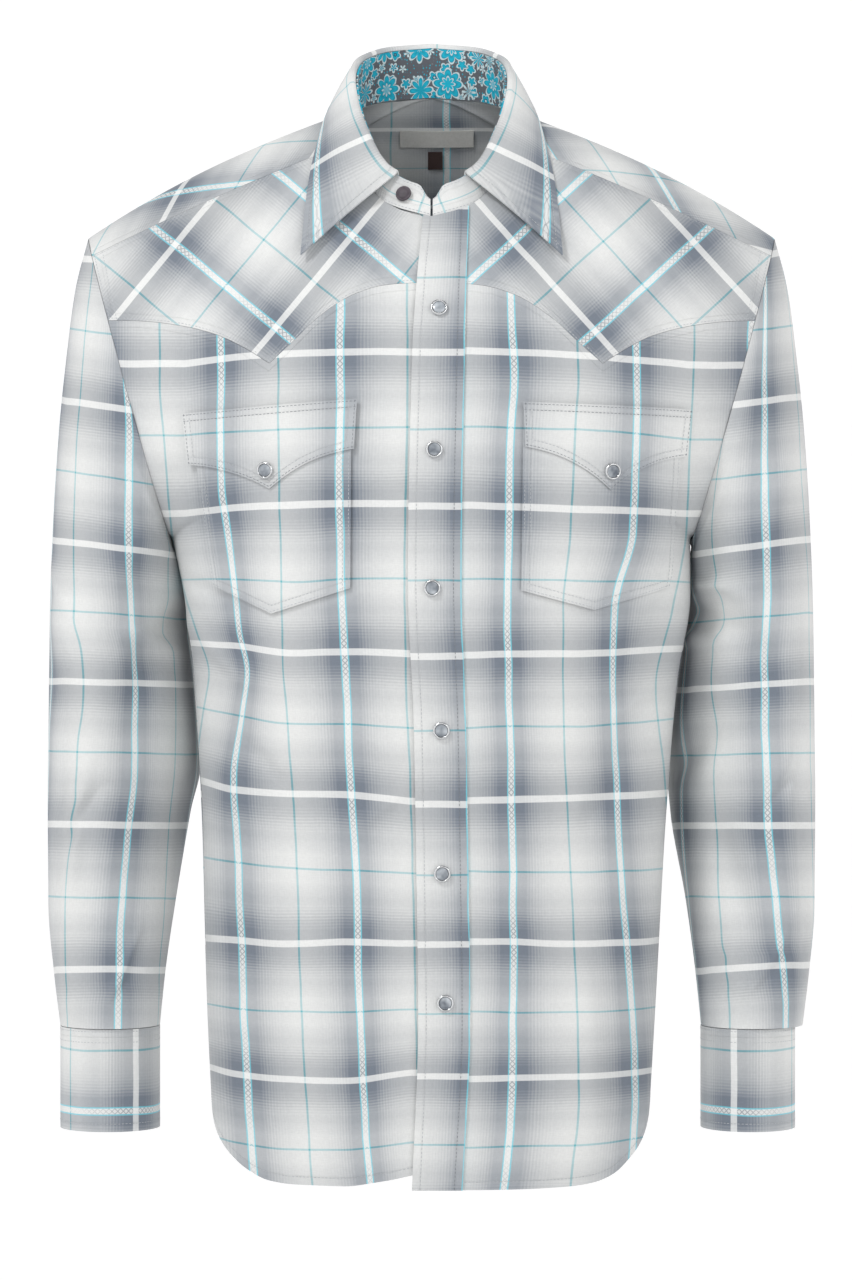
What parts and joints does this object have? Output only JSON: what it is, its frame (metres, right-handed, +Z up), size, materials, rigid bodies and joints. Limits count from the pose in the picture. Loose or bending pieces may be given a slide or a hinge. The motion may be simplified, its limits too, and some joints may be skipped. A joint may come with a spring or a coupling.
{
  "type": "western snap shirt",
  "caption": "Long-sleeved plaid western shirt, hollow and worn-shaped, with pointed yokes, flap pockets, snaps and a print-lined collar stand.",
  "frame": {"origin": "middle of the neck at its base, where the wearer's neck and shoulders hold the shirt", "axes": "+Z up along the shirt's length, front faces -Y, +X towards the wearer's left"},
  "size_m": [0.536, 0.2423, 0.8038],
  "materials": {
    "plaid": "woven plaid, soft sheen",
    "print": "printed cotton, matte",
    "snap": "silver rim with a pearly centre",
    "button": "pearly",
    "label": "matte woven",
    "tab": "matte woven"
  },
  "bodies": {
    "root": {"right_front": "plaid", "left_front": "plaid", "right_front_yoke": "plaid", "left_front_yoke": "plaid", "back_yoke": "plaid", "back": "plaid", "placket": "plaid", "right_pocket": "plaid", "left_pocket": "plaid", "right_flap": "plaid", "left_flap": "plaid", "right_sleeve": "plaid", "left_sleeve": "plaid", "right_cuff": "plaid", "left_cuff": "plaid", "right_sleeve_placket": "plaid", "left_sleeve_placket": "plaid", "collar_stand": "plaid", "stand_facing": "print", "collar": "plaid", "placket_snap_1": "snap", "placket_snap_2": "snap", "placket_snap_3": "snap", "placket_snap_4": "snap", "placket_snap_5": "snap", "placket_snap_6": "snap", "right_flap_snap": "snap", "left_flap_snap": "snap", "left_sleeve_snap": "snap", "left_cuff_snap_1": "snap", "left_cuff_snap_2": "snap", "right_sleeve_snap": "snap", "right_cuff_snap_1": "snap", "right_cuff_snap_2": "snap", "collar_button": "button", "neck_label": "label", "size_tab": "tab"}
  },
  "joints": []
}
